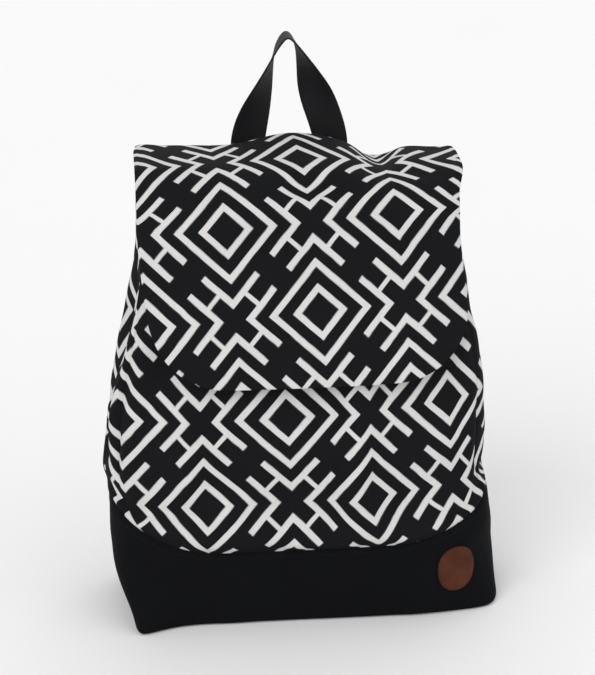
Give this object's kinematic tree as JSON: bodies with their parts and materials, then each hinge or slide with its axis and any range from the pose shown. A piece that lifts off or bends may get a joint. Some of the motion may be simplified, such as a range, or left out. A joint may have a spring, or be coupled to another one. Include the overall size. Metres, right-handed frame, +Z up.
{
  "type": "backpack",
  "caption": "Flap-top backpack of geometric printed canvas on a plain canvas base, with a webbing handle, a round leather patch and adjustable straps on swivel snap hooks.",
  "frame": {"origin": "middle of the flat underside of the base, between the bag's widest sides", "axes": "+Z up along the bag, +X across it to the right as seen from the front, -Y out of its front"},
  "size_m": [0.316, 0.1753, 0.457],
  "materials": {
    "printed_canvas": "matte woven, black with an off-white geometric print",
    "base_canvas": "matte woven, black",
    "lining": "plain woven, black",
    "webbing": "ribbed webbing, black",
    "leather": "smooth brown leather",
    "nickel": "polished nickel plate"
  },
  "bodies": {
    "bag": {"front_panel": "printed_canvas", "back_panel": "printed_canvas", "left_gusset": "printed_canvas", "right_gusset": "printed_canvas", "flap": "printed_canvas", "base_front": "base_canvas", "base_back": "base_canvas", "base_bottom": "base_canvas", "lining": "lining", "front_snap": "nickel", "flap_snap": "nickel", "leather_patch": "leather", "handle": "webbing", "left_strap": "webbing", "left_strap_return": "webbing", "left_hook_eye": "nickel", "left_ring_tab": "webbing", "right_strap": "webbing", "right_strap_return": "webbing", "right_hook_eye": "nickel", "right_ring_tab": "webbing"},
    "left_slider_set": {"left_slider": "nickel", "left_slider_loop": "webbing"},
    "left_hook": {"left_hook_body": "nickel", "left_gate_pin": "nickel"},
    "left_gate": {"left_hook_gate": "nickel"},
    "left_ring": {"left_d_ring": "nickel"},
    "right_slider_set": {"right_slider": "nickel", "right_slider_loop": "webbing"},
    "right_hook": {"right_hook_body": "nickel", "right_gate_pin": "nickel"},
    "right_gate": {"right_hook_gate": "nickel"},
    "right_ring": {"right_d_ring": "nickel"}
  },
  "joints": [
    {"name": "left_slider_travel", "type": "slide", "parent": "bag", "child": "left_slider_set", "axis": [0.244, 0.1219, 0.9621], "range_m": [-0.028, 0.028], "deforming": ["left_strap_return"]},
    {"name": "left_hook_swivel", "type": "hinge", "parent": "bag", "child": "left_hook", "pos_m": [-0.106, 0.0695, 0.046], "axis": [0.244, 0.1219, 0.9621], "range_deg": [-30, 30]},
    {"name": "left_gate_open", "type": "hinge", "parent": "left_hook", "child": "left_gate", "pos_m": [-0.09672, 0.07877, 0.08259], "axis": [-0.9693, 0, 0.2458], "range_deg": [0, 25], "stiffness_Nm_per_rad": 0.02, "springref_deg": -17.19},
    {"name": "left_ring_swing", "type": "hinge", "parent": "bag", "child": "left_ring", "pos_m": [-0.106, 0.0695, 0.046], "axis": [0.9693, 0, -0.2458], "range_deg": [-8, 8]},
    {"name": "right_slider_travel", "type": "slide", "parent": "bag", "child": "right_slider_set", "axis": [-0.244, 0.1219, 0.9621], "range_m": [-0.028, 0.028], "deforming": ["right_strap_return"]},
    {"name": "right_hook_swivel", "type": "hinge", "parent": "bag", "child": "right_hook", "pos_m": [0.106, 0.0695, 0.046], "axis": [-0.244, 0.1219, 0.9621], "range_deg": [-30, 30]},
    {"name": "right_gate_open", "type": "hinge", "parent": "right_hook", "child": "right_gate", "pos_m": [0.09672, 0.07877, 0.08259], "axis": [-0.9693, 0, -0.2458], "range_deg": [0, 25], "stiffness_Nm_per_rad": 0.02, "springref_deg": -17.19},
    {"name": "right_ring_swing", "type": "hinge", "parent": "bag", "child": "right_ring", "pos_m": [0.106, 0.0695, 0.046], "axis": [0.9693, 0, 0.2458], "range_deg": [-8, 8]}
  ]
}
